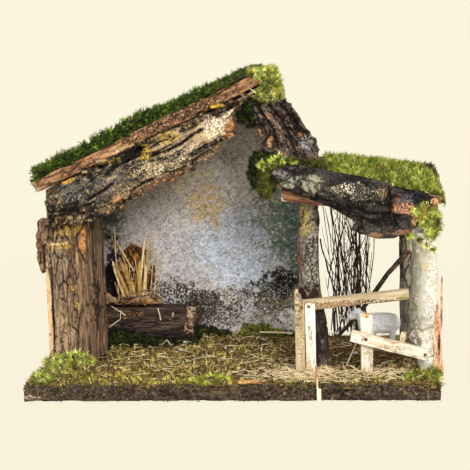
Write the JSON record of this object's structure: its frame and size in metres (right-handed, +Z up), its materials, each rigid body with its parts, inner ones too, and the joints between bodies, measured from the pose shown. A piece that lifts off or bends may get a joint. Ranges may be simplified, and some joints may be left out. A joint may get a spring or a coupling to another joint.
{
  "type": "wooden nativity stable",
  "caption": "Rustic wooden nativity stable with a mossy board base, a plastered rear wall, bark and moss roofs, birch posts, a slat fence, a hay manger and a small sheep.",
  "frame": {"origin": "centre of the base board's underside, on the surface that the stable stands on", "axes": "+X to the right as seen from the open front, +Y to the back, +Z up"},
  "size_m": [0.4299, 0.2431, 0.3303],
  "materials": {
    "base_wood": "rough sawn, dark stained",
    "ground_moss": "dry moss and earth",
    "plywood": "raw plywood",
    "plaster": "matte lime plaster, stained",
    "post_bark": "weathered bark",
    "dark_bark": "fissured bark with lichen",
    "roof_wood": "raw sawn board",
    "dark_moss": "dry moss",
    "bright_moss": "dry moss",
    "birch_bark": "birch bark with lichen",
    "peeled_bark": "inner bark",
    "twig_bark": "dark twig bark",
    "split_wood": "raw split wood",
    "manger_wood": "weathered wood",
    "rust_bark": "crumbling inner bark",
    "reed": "dry reed and straw",
    "pebble": "matte",
    "leaf": "dry leaf",
    "sheep": "matte cast and painted",
    "steel": "zinc plated"
  },
  "bodies": {
    "root": {"base_board": "base_wood", "ground_moss": "ground_moss", "rear_wall_panel": "plywood", "wall_plaster": "plaster", "left_post_trunk": "post_bark", "left_post_bark_plate": "post_bark", "left_post_bark_upper": "post_bark", "left_post_bark_curl": "dark_bark", "left_side_bark_slab": "dark_bark", "main_roof_board": "roof_wood", "main_roof_moss": "dark_moss", "main_roof_bark_fascia": "dark_bark", "gable_bark_slab": "dark_bark", "ridge_moss_cap": "bright_moss", "gable_moss_clump": "dark_moss", "shed_roof_board": "plywood", "shed_roof_moss": "bright_moss", "shed_front_half_log": "dark_bark", "shed_rafter_pole": "roof_wood", "shed_moss_tuft_left": "bright_moss", "shed_moss_tuft_right": "bright_moss", "middle_birch_post": "birch_bark", "right_birch_post": "birch_bark", "right_post_peeled_bark": "peeled_bark", "rear_post": "post_bark", "leaning_branch": "twig_bark", "twig_screen": "twig_bark", "fence_post_tall": "split_wood", "fence_post_front": "split_wood", "fence_post_middle": "split_wood", "fence_upper_rail": "split_wood", "fence_lower_rail": "split_wood", "fence_stub_slat": "split_wood", "front_edge_peg": "split_wood", "manger_log": "manger_wood", "hay_rack_bark": "rust_bark", "hay_rack_back": "rust_bark", "hay_reeds": "reed", "straw_litter": "reed", "pebbles": "pebble", "dry_leaves": "leaf", "sheep_figurine": "sheep", "post_screws": "steel", "wall_brads": "steel", "roof_brads": "steel", "fence_brads": "steel"}
  },
  "joints": []
}
